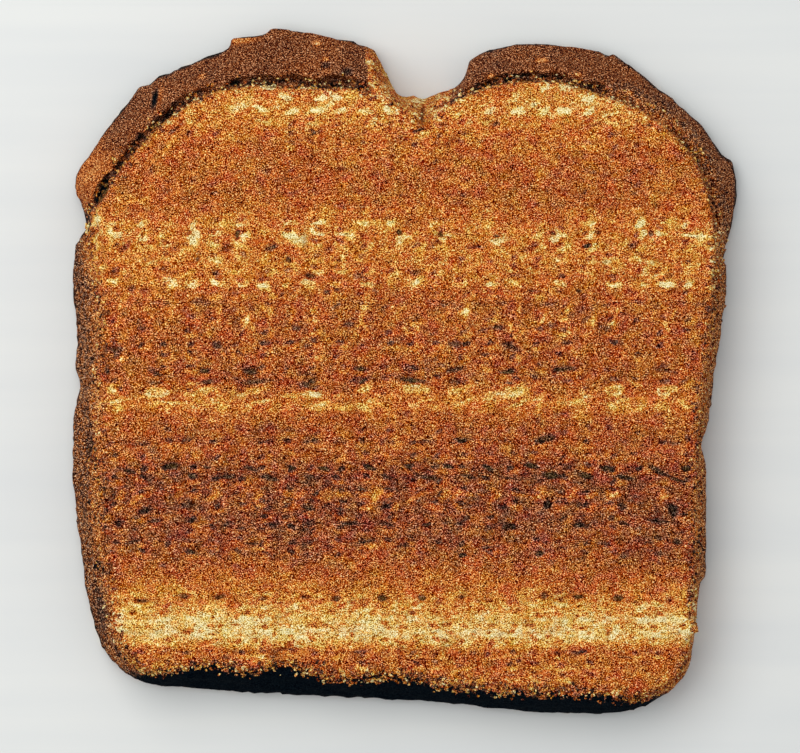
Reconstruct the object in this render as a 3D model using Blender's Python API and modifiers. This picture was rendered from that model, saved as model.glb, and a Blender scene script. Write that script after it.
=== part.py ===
"""A slice of burnt tin-loaf toast, lying on its larger cut face with the toasted crumb up.

The slice comes from near the end of a loaf, so its crust leans outwards from the small cut face on
top to the large one below. The two outlines are the driving shapes: RIM is the edge of the toasted
crumb, and SKIRT is the foot of the crust. Every height between them follows from how far a point
lies along the way from one to the other.

Units are metres, with the outlines written in millimetres. +Z is up, and +Y is the loaf's domed top.
The origin is under the middle of the slice.
"""

import math
import random

import bmesh
import bpy
import numpy as np
from mathutils import Vector, noise

MM = 0.001

# Driving sizes
SLICE_THICKNESS = 12.5 * MM
CRUST_FOOT_HEIGHT = 3.0 * MM
CRUST_TOP_DROP = 0.3 * MM
CRUST_BULGE = 1.4
THINNEST_CRUST = 0.5 * MM
REMESH_VOXEL = 0.5 * MM
TRIANGLES = 10900
SEED = 12

# Points of an outline marked TORN are sharp corners, and the curve runs smoothly through the others.
TORN = True

# The foot of the crust, clockwise from the torn flake on the left shoulder, in millimetres.
SKIRT = (
    (-56.0, 29.6, TORN), (-56.4, 32.1), (-55.4, 34.4, TORN), (-49.9, 42.2), (-44.9, 48.4, TORN),
    (-43.4, 48.4, TORN), (-42.8, 49.6, TORN), (-34.4, 53.0), (-30.1, 54.8, TORN), (-29.8, 56.5, TORN),
    (-24.4, 56.9, TORN), (-22.3, 58.3, TORN), (-12.0, 56.5), (-5.5, 54.6, TORN), (-3.7, 51.0),
    (-1.5, 46.6, TORN), (2.8, 46.1, TORN), (8.2, 48.2), (9.9, 49.7, TORN), (10.8, 52.8, TORN),
    (14.9, 54.6), (22.2, 55.4), (33.4, 54.4, TORN), (33.8, 52.9, TORN), (35.0, 53.9, TORN),
    (43.4, 47.4), (49.8, 42.0), (53.8, 36.5, TORN), (55.5, 35.6, TORN), (56.1, 31.0), (54.9, 23.5),
    (53.3, 18.7, TORN), (54.5, 18.2, TORN), (54.1, 11.0), (52.6, 2.0), (50.7, -10.7),
    (49.8, -12.8, TORN), (50.8, -15.0, TORN), (50.9, -35.2, TORN), (49.9, -35.8, TORN),
    (49.2, -42.5), (48.7, -47.2), (47.1, -52.0), (43.0, -55.4), (38.3, -57.7), (29.8, -58.2),
    (-0.8, -55.8), (-34.8, -54.0), (-44.3, -52.9), (-49.6, -49.7), (-53.3, -41.3), (-55.4, -29.1),
    (-56.7, -13.0), (-56.2, -6.6, TORN), (-55.4, -2.4, TORN), (-56.2, 0.8), (-55.9, 5.6),
    (-56.8, 14.6), (-55.9, 22.4, TORN), (-54.4, 24.0, TORN), (-55.0, 28.6, TORN),
)

# The edge of the toasted crumb, clockwise from the left shoulder, in millimetres.
RIM = (
    (-52.3, 27.7), (-47.4, 35.0), (-39.9, 42.7), (-31.4, 47.3), (-16.1, 47.6), (-7.6, 47.4),
    (-3.3, 45.7), (3.3, 42.3, TORN), (8.6, 45.6), (18.8, 48.8), (33.2, 46.6), (45.1, 40.1),
    (50.7, 31.6), (51.8, 10.4), (49.7, -6.6), (48.9, -23.6), (48.7, -35.5), (46.5, -50.0),
    (42.6, -53.7), (6.0, -52.7), (-0.8, -51.5), (-11.0, -51.9), (-20.3, -49.8), (-26.8, -50.7),
    (-32.7, -49.6), (-39.0, -50.7), (-45.3, -49.5), (-49.7, -38.9), (-51.4, 1.9), (-51.1, 20.6),
)

# Where the crust has cracked into plates, as angles round the slice from +X, and how far each
# plate that starts there, going anticlockwise, stands above the leaning crust.
CRUST_PLATES = (
    (-180.0, 0.0 * MM), (19.3, -0.7 * MM), (34.5, -0.3 * MM), (57.0, 0.5 * MM),
    (95.5, 0.7 * MM), (118.1, -0.1 * MM), (131.7, 0.5 * MM), (152.2, -0.9 * MM),
)
PLATE_RAMP = 0.3
BARE_NOTCH = (78.8, 95.5)
NOTCH_RAMP = 1.0

# The crevice between the crumb and the lifted crust. Its width is a share of the crust's, and both
# the width and the depth wander along it by the given shares.
CREVICE_SPAN = (14.0, 152.0)
CREVICE_FADE = 12.0
CREVICE_DEPTH = 3.2 * MM
CREVICE_SHARE = 0.18
CREVICE_LIP = 0.05
CREVICE_WALL = 0.06
CREVICE_WANDER_SIZE = 4.5 * MM
CREVICE_WANDER_WIDTH = 0.45
CREVICE_WANDER_DEPTH = 0.7

# The split in the crumb below the notch.
SPLIT_TOP = (3.3 * MM, 47.0 * MM)
SPLIT_BOTTOM = (3.0 * MM, 41.6 * MM)
SPLIT_HALF_WIDTH = 0.9 * MM
SPLIT_DEPTH = 3.0 * MM

# Open pores are the hollows of a noise. They crowd along loose rows, at these heights of y in
# millimetres, where the noise counts for a little more.
PORE_ROWS_Y = (37.0, 22.6, 13.6, -3.2, -15.8, -26.0, -38.6, -46.5)
PORE_ROW_HALF_WIDTH = 3.0
PORE_ROW_GAIN = 0.22
PORE_SIZE = 2.9 * MM
PORE_DEPTH = 1.1 * MM
PORE_RIM_LEVEL = 0.5
PORE_FLOOR_LEVEL = 0.8

# The surface's unevenness: how far apart its swells and grains are, and how high.
NOISE_GAIN = 0.6
NOISE_STEP = 2.0
SWELL_SIZE = 13 * MM
SWELL_HEIGHT = 0.55 * MM
GRAIN_SIZE = 3.4 * MM
CRUMB_GRAIN_HEIGHT = 0.2 * MM
CRUST_GRAIN_HEIGHT = 0.35 * MM
CRUST_GRAIN_START = 0.2
CRUST_GRAIN_FULL = 0.8

# The dents of the underside, which leave a level patch in its middle.
DENT_SIZE = 7 * MM
DENT_DEPTH = 0.8 * MM
DENT_LEVEL = 0.3
REST_PATCH_RADIUS = 9 * MM

# Crumbs that hang on the torn edges, in millimetres: x, y and radius.
EDGE_CRUMBS = (
    (-19.1, -51.0, 1.6), (-4.5, -53.0, 1.0), (13.0, -54.2, 1.2), (34.0, -55.2, 1.2),
    (-37.0, -51.4, 1.1), (-52.4, -28.4, 1.3), (-52.8, -7.4, 1.2), (-53.0, 24.6, 1.3),
    (48.5, -43.6, 1.1), (6.2, 45.6, 1.1),
)
CRUMB_ROUGHNESS = 0.25
CRUMB_STRETCH = (1.35, 1.0, 0.75)
SUNK_SHARE = 0.4

CRUMB_GOLD = (0.47, 0.17, 0.045, 1.0)


def clear_scene():
    for thing in list(bpy.data.objects):
        bpy.data.objects.remove(thing)


def new_collection(name):
    collection = bpy.data.collections.new(name)
    bpy.context.scene.collection.children.link(collection)
    return collection


def remove_collection(collection):
    for thing in list(collection.objects):
        bpy.data.objects.remove(thing)
    bpy.data.collections.remove(collection)


def crumb_material():
    material = bpy.data.materials.new("toasted_crumb")
    material.use_nodes = True
    shader = material.node_tree.nodes["Principled BSDF"]
    shader.inputs["Base Color"].default_value = CRUMB_GOLD
    shader.inputs["Roughness"].default_value = 0.9
    shader.inputs["Metallic"].default_value = 0.0
    return material


def outline_curve(name, points_mm, collection):
    """A closed flat Bezier curve through the points, sharp at the torn ones."""
    curve = bpy.data.curves.new(name, "CURVE")
    curve.dimensions = "2D"
    curve.resolution_u = 8
    spline = curve.splines.new("BEZIER")
    spline.bezier_points.add(len(points_mm) - 1)
    spline.use_cyclic_u = True
    for knot, (x, y, *torn) in zip(spline.bezier_points, points_mm):
        knot.co = (x * MM, y * MM, 0)
        knot.handle_left_type = "VECTOR" if torn else "AUTO"
        knot.handle_right_type = knot.handle_left_type
    outline = bpy.data.objects.new(name, curve)
    collection.objects.link(outline)
    return outline


def evaluated_mesh(thing):
    graph = bpy.context.evaluated_depsgraph_get()
    return bpy.data.meshes.new_from_object(thing.evaluated_get(graph))


def radius_by_angle(outline):
    """The outline as sorted angles and the radius at each, for reading the radius at any angle."""
    mesh = evaluated_mesh(outline)
    places = np.array([vertex.co[:2] for vertex in mesh.vertices])
    bpy.data.meshes.remove(mesh)
    angles = np.arctan2(places[:, 1], places[:, 0])
    order = np.argsort(angles)
    return angles[order], np.hypot(places[:, 0], places[:, 1])[order]


def radius_at(outline_radii, angles):
    known_angles, known_radii = outline_radii
    return np.interp(angles, known_angles, known_radii, period=2 * math.pi)


def smoothstep(low, high, value):
    share = np.clip((value - low) / (high - low), 0, 1)
    return share * share * (3 - 2 * share)


def window(low, high, fade, value):
    """1 between low and high, falling to 0 over fade outside them."""
    return smoothstep(low - fade, low, value) * (1 - smoothstep(high, high + fade, value))


def noise_at(places, scale, octaves):
    """Smooth noise of about -1 to 1 at each place, with features of about the scale."""
    return np.array([noise.fractal(Vector(place) / scale, NOISE_GAIN, NOISE_STEP, octaves) for place in places])


def plate_lift(degrees):
    """How far the crust's cracked plates stand proud, with a short ramp at each crack."""
    lift = np.zeros_like(degrees)
    below = 0.0
    for start, height in CRUST_PLATES:
        lift += (height - below) * smoothstep(start - PLATE_RAMP, start + PLATE_RAMP, degrees)
        below = height
    return lift


def segment_distance(x, y, start, end):
    """How far each point lies from a straight line between two points."""
    along = np.array(end) - np.array(start)
    share = np.clip(((x - start[0]) * along[0] + (y - start[1]) * along[1]) / (along @ along), 0, 1)
    return np.hypot(x - start[0] - share * along[0], y - start[1] - share * along[1])


def share_of_crust(x, y, rim, skirt):
    """0 on the crumb, rising to 1 across the crust from the rim to the foot."""
    angles = np.arctan2(y, x)
    rim_radius = radius_at(rim, angles)
    skirt_radius = np.maximum(radius_at(skirt, angles), rim_radius + THINNEST_CRUST)
    return np.clip((np.hypot(x, y) - rim_radius) / (skirt_radius - rim_radius), 0, 1)


def top_height(x, y, share):
    """Height of the upper surface: level crumb, a crevice, then crust that leans down to its foot."""
    degrees = np.degrees(np.arctan2(y, x))
    notch = window(*BARE_NOTCH, NOTCH_RAMP, degrees)
    leaning = CRUST_TOP_DROP + (SLICE_THICKNESS - CRUST_TOP_DROP - CRUST_FOOT_HEIGHT) * share**CRUST_BULGE
    drop = leaning * smoothstep(0, CREVICE_LIP, share)

    # The crevice wanders, so its far wall and its floor follow a noise along the crust.
    wander = noise_at(np.column_stack((x, y, np.zeros_like(x))), CREVICE_WANDER_SIZE, 2)
    far_wall = CREVICE_SHARE * (1 + CREVICE_WANDER_WIDTH * wander)
    past_crevice = smoothstep(far_wall, far_wall + CREVICE_WALL, share)
    floor = CREVICE_DEPTH * (1 - CREVICE_WANDER_DEPTH * smoothstep(0, 1, -wander))
    open_here = window(*CREVICE_SPAN, CREVICE_FADE, degrees) * (1 - notch)
    drop += floor * open_here * smoothstep(0, CREVICE_LIP, share) * (1 - past_crevice)
    drop -= plate_lift(degrees) * (1 - notch) * past_crevice
    split = 1 - smoothstep(0, SPLIT_HALF_WIDTH, segment_distance(x, y, SPLIT_TOP, SPLIT_BOTTOM))
    return SLICE_THICKNESS - drop - SPLIT_DEPTH * split


def pore_depth(places):
    """Depth of the crumb's open pores, which crowd along their rows."""
    rows = np.zeros(len(places))
    for row in PORE_ROWS_Y:
        rows += np.exp(-(((places[:, 1] / MM - row) / PORE_ROW_HALF_WIDTH) ** 2))
    hollows = noise_at(places * (1, 1, 0) + SEED, PORE_SIZE, 1)
    return PORE_DEPTH * smoothstep(PORE_RIM_LEVEL, PORE_FLOOR_LEVEL, hollows + PORE_ROW_GAIN * rows)


def apply_modifiers(thing):
    mesh = evaluated_mesh(thing)
    thing.modifiers.clear()
    old = thing.data
    thing.data = mesh
    bpy.data.meshes.remove(old)


def make_slab(skirt_outline, collection):
    """The foot's outline extruded to the slice's thickness, remeshed into small even faces."""
    skirt_outline.data.fill_mode = "BOTH"
    skirt_outline.data.extrude = SLICE_THICKNESS / 2
    mesh = evaluated_mesh(skirt_outline)
    welding = bmesh.new()
    welding.from_mesh(mesh)
    bmesh.ops.remove_doubles(welding, verts=welding.verts, dist=0.01 * MM)
    bmesh.ops.translate(welding, verts=welding.verts, vec=(0, 0, SLICE_THICKNESS / 2))
    welding.to_mesh(mesh)
    welding.free()
    slab = bpy.data.objects.new("toast", mesh)
    collection.objects.link(slab)
    remesh = slab.modifiers.new("even faces", "REMESH")
    remesh.mode = "VOXEL"
    remesh.voxel_size = REMESH_VOXEL
    apply_modifiers(slab)
    return slab


def shape_slice(slab, rim, skirt):
    """Presses the slab to the height of the crumb and crust, then roughens every side of it."""
    mesh = slab.data
    places = np.empty(len(mesh.vertices) * 3, np.float32)
    mesh.vertices.foreach_get("co", places)
    places = places.reshape(-1, 3).astype(float)
    x, y = places[:, 0], places[:, 1]
    share = share_of_crust(x, y, rim, skirt)
    level = np.clip(places[:, 2] / SLICE_THICKNESS, 0, 1)
    heights = top_height(x, y, share) + SWELL_HEIGHT * noise_at(places * (1, 1, 0), SWELL_SIZE, 2)
    heights -= pore_depth(places) * (share == 0)
    places[:, 2] = level * heights

    # Grain pushes the crumb up and down, and the crust in and out.
    grain = noise_at(places, GRAIN_SIZE, 2)
    places[:, 2] += CRUMB_GRAIN_HEIGHT * grain * level
    outward = places[:, :2] / np.hypot(x, y)[:, None]
    on_crust = smoothstep(CRUST_GRAIN_START, CRUST_GRAIN_FULL, share)
    places[:, :2] += outward * (CRUST_GRAIN_HEIGHT * grain * on_crust)[:, None]

    # The underside's highest spots stay on the table, and it only dents upwards from them.
    dents = np.maximum(0, noise_at(places * (1, 1, 0) - SEED, DENT_SIZE, 2))
    dents *= smoothstep(REST_PATCH_RADIUS, 2 * REST_PATCH_RADIUS, np.hypot(x, y))
    places[:, 2] += DENT_DEPTH * dents * (1 - smoothstep(0, DENT_LEVEL, level))
    mesh.vertices.foreach_set("co", places.astype(np.float32).ravel())
    mesh.update()


def thin_out(slab):
    """Collapses faces where the surface is plain until the slice has its number of triangles."""
    triangles = sum(len(face.vertices) - 2 for face in slab.data.polygons)
    collapse = slab.modifiers.new("fewer faces", "DECIMATE")
    collapse.ratio = TRIANGLES / triangles
    collapse.use_collapse_triangulate = True
    apply_modifiers(slab)


def edge_crumb(name, place, radius, collection):
    """One rough crumb: a small icosphere with each corner pushed in or out."""
    draw = random.Random(name)
    shaping = bmesh.new()
    bmesh.ops.create_icosphere(shaping, subdivisions=2, radius=radius)
    for vertex in shaping.verts:
        vertex.co *= 1 + draw.uniform(-CRUMB_ROUGHNESS, CRUMB_ROUGHNESS)
    mesh = bpy.data.meshes.new(name)
    shaping.to_mesh(mesh)
    shaping.free()
    crumb = bpy.data.objects.new(name, mesh)
    crumb.location = place
    crumb.scale = CRUMB_STRETCH
    crumb.rotation_euler = [draw.uniform(0, math.pi) for _ in range(3)]
    collection.objects.link(crumb)


def fuse_crumbs(slab, crumbs):
    """Joins the crumbs on the torn edges to the slice, and removes their own objects."""
    union = slab.modifiers.new("crumbs on the edges", "BOOLEAN")
    union.operation = "UNION"
    union.operand_type = "COLLECTION"
    union.collection = crumbs
    union.solver = "MANIFOLD"
    apply_modifiers(slab)
    remove_collection(crumbs)


def set_down_at_origin(slab):
    """Rests the slice on z = 0, with the middle of its box over the origin."""
    corners = np.array([vertex.co for vertex in slab.data.vertices])
    middle = (corners.min(0) + corners.max(0)) / 2
    for vertex in slab.data.vertices:
        vertex.co.x -= middle[0]
        vertex.co.y -= middle[1]
        vertex.co.z = max(vertex.co.z, 0)


def main():
    clear_scene()
    slice_parts = new_collection("toast_slice")
    guides = new_collection("outlines")
    crumbs = new_collection("edge_crumbs")

    skirt_outline = outline_curve("skirt_outline", SKIRT, guides)
    rim_outline = outline_curve("rim_outline", RIM, guides)
    skirt = radius_by_angle(skirt_outline)
    rim = radius_by_angle(rim_outline)

    toast = make_slab(skirt_outline, slice_parts)
    remove_collection(guides)
    shape_slice(toast, rim, skirt)
    thin_out(toast)
    for number, crumb in enumerate(EDGE_CRUMBS):
        x, y, radius = (size * MM for size in crumb)
        share = share_of_crust(np.array([x]), np.array([y]), rim, skirt)
        sunk = float(top_height(np.array([x]), np.array([y]), share)[0]) - SUNK_SHARE * radius
        edge_crumb(f"edge_crumb_{number}", (x, y, sunk), radius, crumbs)
    bpy.context.view_layer.update()
    fuse_crumbs(toast, crumbs)
    set_down_at_origin(toast)
    toast.data.materials.append(crumb_material())


main()
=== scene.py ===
# %% [markdown]
# # A slice of burnt toast
#
# A slice from near the end of a tin loaf, toasted until its crumb is orange brown and its crust is charred.
# It lies on a pale table under a soft lamp, and the camera looks straight down on it, as a scanner would.
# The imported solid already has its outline, its leaning crust and its larger pores. This lesson gives that
# solid the grain of real bread: first the finer relief, then the colours, then the loose grains at its edges.

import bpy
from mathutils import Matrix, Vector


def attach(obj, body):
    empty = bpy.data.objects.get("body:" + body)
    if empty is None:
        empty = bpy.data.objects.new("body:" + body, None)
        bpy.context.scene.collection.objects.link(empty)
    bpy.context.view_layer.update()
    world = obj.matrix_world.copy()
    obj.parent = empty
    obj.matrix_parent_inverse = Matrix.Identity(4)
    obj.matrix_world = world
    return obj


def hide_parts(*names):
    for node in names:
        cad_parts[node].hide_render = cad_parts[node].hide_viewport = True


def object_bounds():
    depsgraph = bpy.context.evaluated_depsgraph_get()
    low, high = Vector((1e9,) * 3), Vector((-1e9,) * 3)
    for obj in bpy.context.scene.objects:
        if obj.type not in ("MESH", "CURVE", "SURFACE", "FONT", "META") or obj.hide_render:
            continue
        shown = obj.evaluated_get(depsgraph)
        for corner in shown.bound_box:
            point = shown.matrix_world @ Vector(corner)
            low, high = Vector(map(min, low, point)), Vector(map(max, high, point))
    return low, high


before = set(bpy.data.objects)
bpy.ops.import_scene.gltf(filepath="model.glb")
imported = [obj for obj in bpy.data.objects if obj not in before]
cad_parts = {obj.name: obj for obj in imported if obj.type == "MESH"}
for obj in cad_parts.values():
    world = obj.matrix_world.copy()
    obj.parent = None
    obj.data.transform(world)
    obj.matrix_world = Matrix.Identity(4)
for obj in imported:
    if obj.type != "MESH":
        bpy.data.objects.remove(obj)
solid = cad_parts["toast"]
solid_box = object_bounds()
print("solid box in mm", [[round(1000 * v, 1) for v in corner] for corner in solid_box])

# %% [markdown]
# Blender works in metres, and a slice of toast is easier to think about in millimetres. So every size below
# is a number of millimetres times MM. The photo shows 0.17 mm of the slice in each of its pixels.

# %% Units and the other modules
import math
import random

import bpy
import numpy as np
from mathutils import Vector, noise

MM = 0.001
PIXEL = 0.17 * MM
SEED = 7

# %% [markdown]
# Most operators act on everything that is selected, and loading leaves the solid selected. So one small
# helper makes one object the only selected one and the active one, as a click on it would. Another applies
# an object's modifiers, which bakes what they do into its mesh.

# %% Select one object and apply its modifiers
def select_only(thing):
    bpy.ops.object.select_all(action="DESELECT")
    thing.select_set(True)
    bpy.context.view_layer.objects.active = thing


def apply_all_modifiers(thing):
    select_only(thing)
    for modifier in list(thing.modifiers):
        bpy.ops.object.modifier_apply(modifier=modifier.name)
    triangles = sum(len(face.vertices) - 2 for face in thing.data.polygons)
    print(thing.name, "has", triangles, "triangles")


# %% [markdown]
# ## The bread's body
#
# The slice could be modelled again from its outline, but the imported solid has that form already, so a copy
# of its mesh is the start. The solid's facets are up to 3 mm long, which is far coarser than crumb. A voxel
# remesh turns them into small even faces, and a little smoothing takes the facets' edges away.

# %% Copy the solid and merge its corners
toast = bpy.data.objects.new("toast_slice", solid.data.copy())
bpy.context.scene.collection.objects.link(toast)
toast.data.materials.clear()
select_only(toast)
bpy.ops.object.mode_set(mode="EDIT")
bpy.ops.mesh.select_all(action="SELECT")
bpy.ops.mesh.remove_doubles(threshold=0.001 * MM)
bpy.ops.object.mode_set(mode="OBJECT")
print("merged to", len(toast.data.vertices), "corners")

# %% Give it small even faces
FACE_SIZE = 0.46 * MM

even_faces = toast.modifiers.new("even faces", "REMESH")
even_faces.mode = "VOXEL"
even_faces.voxel_size = FACE_SIZE
softened = toast.modifiers.new("softened facets", "SMOOTH")
softened.factor = 0.5
softened.iterations = 3
apply_all_modifiers(toast)

# %% [markdown]
# ## Which part of the bread is which
#
# Crumb and crust need different relief and colours, so each point needs to know which it is. The edge of
# the crumb is one closed line. Seen from the middle of the slice, that line lies at some distance in each
# direction, so how far a point is beyond the line is its own distance from the middle less the line's.

# %% The crumb's edge
CRUMB_EDGE = (
    (-52.3, 27.7), (-47.4, 35), (-39.9, 42.7), (-31.4, 47.3), (-16.1, 47.6), (-7.6, 47.4),
    (-3.3, 45.7), (3.3, 42.3), (8.6, 45.6), (18.8, 48.8), (33.2, 46.6), (45.1, 40.1),
    (50.7, 31.6), (51.8, 10.4), (49.7, -6.6), (48.9, -23.6), (48.7, -35.5), (47.5, -50.2),
    (42.6, -54.9), (32, -54.7), (6, -52.9), (-0.8, -51.5), (-11, -51.9), (-20.3, -49.8), (-26.8, -50.7),
    (-32.7, -49.6), (-39, -50.7), (-45.3, -49.5), (-49.7, -38.9), (-51.4, 1.9), (-51.7, 12.5),
    (-53.5, 20.8),
)
LOAF_MIDDLE = (0.11 * MM, 0.18 * MM)


def crumb_edge_by_angle():
    """The crumb's edge as a smooth closed curve, given as sorted angles and the distance at each."""
    curve = bpy.data.curves.new("crumb_edge", "CURVE")
    curve.resolution_u = 8
    spline = curve.splines.new("BEZIER")
    spline.bezier_points.add(len(CRUMB_EDGE) - 1)
    spline.use_cyclic_u = True
    for knot, (x, y) in zip(spline.bezier_points, CRUMB_EDGE):
        knot.co = (x * MM, y * MM, 0)
        knot.handle_left_type = "AUTO"
        knot.handle_right_type = "AUTO"
    guide = bpy.data.objects.new("crumb_edge", curve)
    mesh = guide.to_mesh()
    points = np.array([vertex.co[:2] for vertex in mesh.vertices])
    guide.to_mesh_clear()
    bpy.data.objects.remove(guide)
    bpy.data.curves.remove(curve)
    angles = np.arctan2(points[:, 1], points[:, 0])
    order = np.argsort(angles)
    return angles[order], np.hypot(points[:, 0], points[:, 1])[order]


edge_angles, edge_distances = crumb_edge_by_angle()
print("the crumb's edge lies", round(1000 * edge_distances.min(), 1), "to",
      round(1000 * edge_distances.max(), 1), "mm from the middle")


# %% Read and write a mesh's points all at once
def read_all(elements, name):
    flat = np.empty(3 * len(elements), np.float32)
    elements.foreach_get(name, flat)
    return flat.reshape(-1, 3).astype(float)


def points_of(thing):
    return read_all(thing.data.vertices, "co")


def move_points(thing, points):
    thing.data.vertices.foreach_set("co", points.astype(np.float32).ravel())
    thing.data.update()


def store(thing, name, values):
    """Lets each point of the mesh carry a number under this name, which materials and nodes can read."""
    attribute = thing.data.attributes.new(name, "FLOAT", "POINT")
    attribute.data.foreach_set("value", values.astype(np.float32))
    print(name, "runs from", round(float(values.min()), 2), "to", round(float(values.max()), 2))


# %% Where a point lies on the slice
def angle_of(points):
    return np.arctan2(points[:, 1] - LOAF_MIDDLE[1], points[:, 0] - LOAF_MIDDLE[0])


def beyond_crumb(points):
    """How far each point is beyond the crumb's edge: negative on the crumb, positive on the crust."""
    from_middle = np.hypot(points[:, 0] - LOAF_MIDDLE[0], points[:, 1] - LOAF_MIDDLE[1])
    return from_middle - np.interp(angle_of(points), edge_angles, edge_distances, period=2 * math.pi)


def smoothstep(low, high, value):
    share = np.clip((value - low) / (high - low), 0, 1)
    return share * share * (3 - 2 * share)


places = points_of(toast)
beyond = beyond_crumb(places)
facing_up = smoothstep(0.2, 0.6, read_all(toast.data.vertex_normals, "vector")[:, 2])
print(round(100 * float((beyond < 0).mean())), "% of the points lie inside the crumb's edge")

# %% [markdown]
# ## Rows of pits and streaks
#
# The open face of this slice has its pits, pale flecks and dark smudges in rows from side to side, most
# of them 7 to 9 mm apart in their row. The dark ones are partly scorch and partly painted shade in their
# pits. A modeller could place each one by hand. A loop is quicker, and a seeded random shift keeps the rows
# from looking stamped. Each row says its height on the slice, the size of one mark, how far it leans, how
# deep it is and how much paler or darker than the crumb it is.

# %% The rows, from the top of the loaf to the bottom
# height y, offset along the row, spacing, half length, half width in mm; lean in degrees; depth in mm; tone
CRUMB_ROWS = (
    (45.2, 0, 8.5, 2.6, 0.5, 25, 0.15, 1.7), (43.6, 4, 8.5, 2.2, 0.45, 25, 0.15, 1.6),
    (41.9, 1.5, 8.5, 1.7, 0.42, 22, 0.35, -2.2), (40.4, 5.5, 8.5, 1.4, 0.45, 22, 0.35, -2),
    (37.8, 3, 7.9, 1, 0.4, -15, 0.2, 1.1), (33.6, 2, 9.4, 1.2, 0.7, 0, 0.25, -1.3),
    (30, 6, 7.9, 0.9, 0.7, 0, 0.25, -1.3), (27.4, 4.4, 8.4, 1.2, 0.4, 30, 0.2, 1.2),
    (24.8, 1, 8.4, 1.3, 0.55, 60, 0.2, 1.5), (22.6, 0.9, 8.6, 1.15, 1.05, 0, 0.3, 2.3),
    (22.9, 4.4, 8.4, 1, 0.6, -40, 0.2, 1.3), (23.1, 0.7, 8.6, 0.52, 0.5, 0, 0.7, -5.6),
    (20.9, 6.4, 8.6, 1.4, 0.7, 20, 0.35, -2.6), (18.9, 1.6, 8.4, 0.55, 0.5, 0, 0.45, -2.6),
    (18.2, 3.2, 8.4, 0.8, 0.6, 0, 0.35, 1.4), (16.2, 4.8, 8.5, 1.3, 0.68, 0, 0.4, -2.6),
    (14.9, 4.4, 8.5, 1.2, 0.7, -20, 0.2, 2.4), (14.7, 0.4, 8.5, 0.9, 0.55, 15, 0.25, 1.8),
    (13.6, 7.6, 8.5, 0.7, 0.5, 10, 0.45, -2.4), (11.4, 2.4, 8.5, 1.7, 0.8, 0, 0.2, -1.5),
    (10, 5.4, 8.5, 1.9, 0.46, 75, 0.1, 2.2), (9, 1.6, 8.5, 1.4, 0.44, 65, 0.1, 1.9),
    (7.6, 0.8, 8.6, 1.1, 1, 0, 0.3, -1.9), (7.2, 3.4, 8.6, 1.7, 0.44, -60, 0.1, 2),
    (4.4, 5, 8.4, 1.5, 0.85, 0, 0.3, -2), (2.6, 6.2, 8.4, 1.1, 0.36, -55, 0.1, 1.7),
    (0, 2.8, 8.6, 2, 0.68, 0, 0.4, -2.6), (-1.9, 3.1, 8.6, 2, 0.7, 5, 0.4, -2.7),
    (-3.4, 3.3, 8.6, 2.1, 0.68, 0, 0.2, 2.8), (-5.2, 4.8, 8.6, 2.9, 0.42, 12, 0.25, 1.8),
    (-7.4, 2.2, 8.6, 1.5, 0.5, 10, 0.25, -1.3), (-11.8, 3, 6.8, 1.9, 0.7, 8, 0.3, -1.9),
    (-14, 5, 7.6, 1.1, 0.4, -30, 0.2, 1.4), (-16.4, 0.5, 6.8, 1.4, 0.6, -12, 0.4, -2.5),
    (-18, 3.8, 6.8, 1.6, 0.55, -12, 0.4, -2.3), (-20, 1.2, 6.8, 0.9, 0.8, 0, 0.25, 1.2),
    (-21.2, 1.6, 6.8, 1.5, 0.48, 35, 0.3, 2.7), (-23, 3.2, 6.8, 1.3, 0.9, 0, 0.25, -2),
    (-25.8, 5, 6.6, 1.4, 0.6, 0, 0.3, -2.1), (-29.2, 1.4, 6.6, 1.8, 0.5, 0, 0.3, -1.9),
    (-30, 3, 6.6, 0.9, 0.55, 0, 0.15, 1.2), (-31.3, 5, 6.6, 1.3, 0.8, 0, 0.3, -1.3),
    (-34.6, 0.8, 8.4, 1.5, 0.5, 20, 0.2, 1), (-38.4, 2.6, 6.8, 1.05, 0.65, 0, 0.6, -3.6),
    (-39.1, 5.4, 6.8, 0.6, 0.45, 0, 0.4, -2), (-41.2, 0.6, 6.9, 0.9, 0.5, 15, 0.35, -1.8),
    (-43.2, 4.2, 7.1, 1, 0.4, 0, 0.4, -2.2), (-43.3, 1.6, 7.1, 0.7, 0.4, 0, 0.35, -2.2),
    (-44.6, 2.4, 3.3, 0.55, 0.36, 0, 0.3, -2), (-45.8, 3.4, 8.4, 0.55, 0.45, 0, 0.45, -3.2),
    (-45.8, 3.5, 8.4, 1.1, 0.9, 0, 0.1, 1.1), (-47.6, 1, 3.1, 1.1, 0.4, 0, 0.2, -1.7),
    (-48.7, 6.4, 8.4, 1.1, 0.6, 0, 0.35, -2), (-50.6, 2, 8.4, 2.4, 0.7, 25, 0.15, 1.3),
)
ROW_HALF_LENGTH = 54.0
ALONG_JITTER = 0.55
ACROSS_JITTER = 0.28
LEAN_JITTER = 9
SIZE_JITTER = 0.18
MISSING_SHARE = 0.04


def marks_in_rows():
    """Every mark as its place, half sizes, lean, depth and tone, with lengths in metres."""
    draw = random.Random(SEED)
    marks = []
    for y, offset, spacing, half_length, half_width, lean, depth, tone in CRUMB_ROWS:
        # Rows of one spacing are shifted alike, so that a pit stays in the pale ring round it.
        shift = random.Random(round(10 * spacing))
        x = offset - ROW_HALF_LENGTH
        while x < ROW_HALF_LENGTH:
            place = (x + shift.gauss(0, ALONG_JITTER), y + shift.gauss(0, ACROSS_JITTER))
            size = max(0.6, draw.gauss(1, SIZE_JITTER))
            stretch = max(0.7, draw.gauss(1, SIZE_JITTER))
            angle = math.radians(lean + draw.gauss(0, LEAN_JITTER))
            strength = draw.uniform(0.65, 1.2)
            if draw.random() > MISSING_SHARE:
                marks.append((
                    place[0] * MM, place[1] * MM, half_length * size * stretch * MM,
                    half_width * size / stretch * MM, angle, depth * strength * MM, tone * strength,
                ))
            x += spacing
    return marks


row_marks = marks_in_rows()
print(len(row_marks), "marks in", len(CRUMB_ROWS), "rows")
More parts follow.
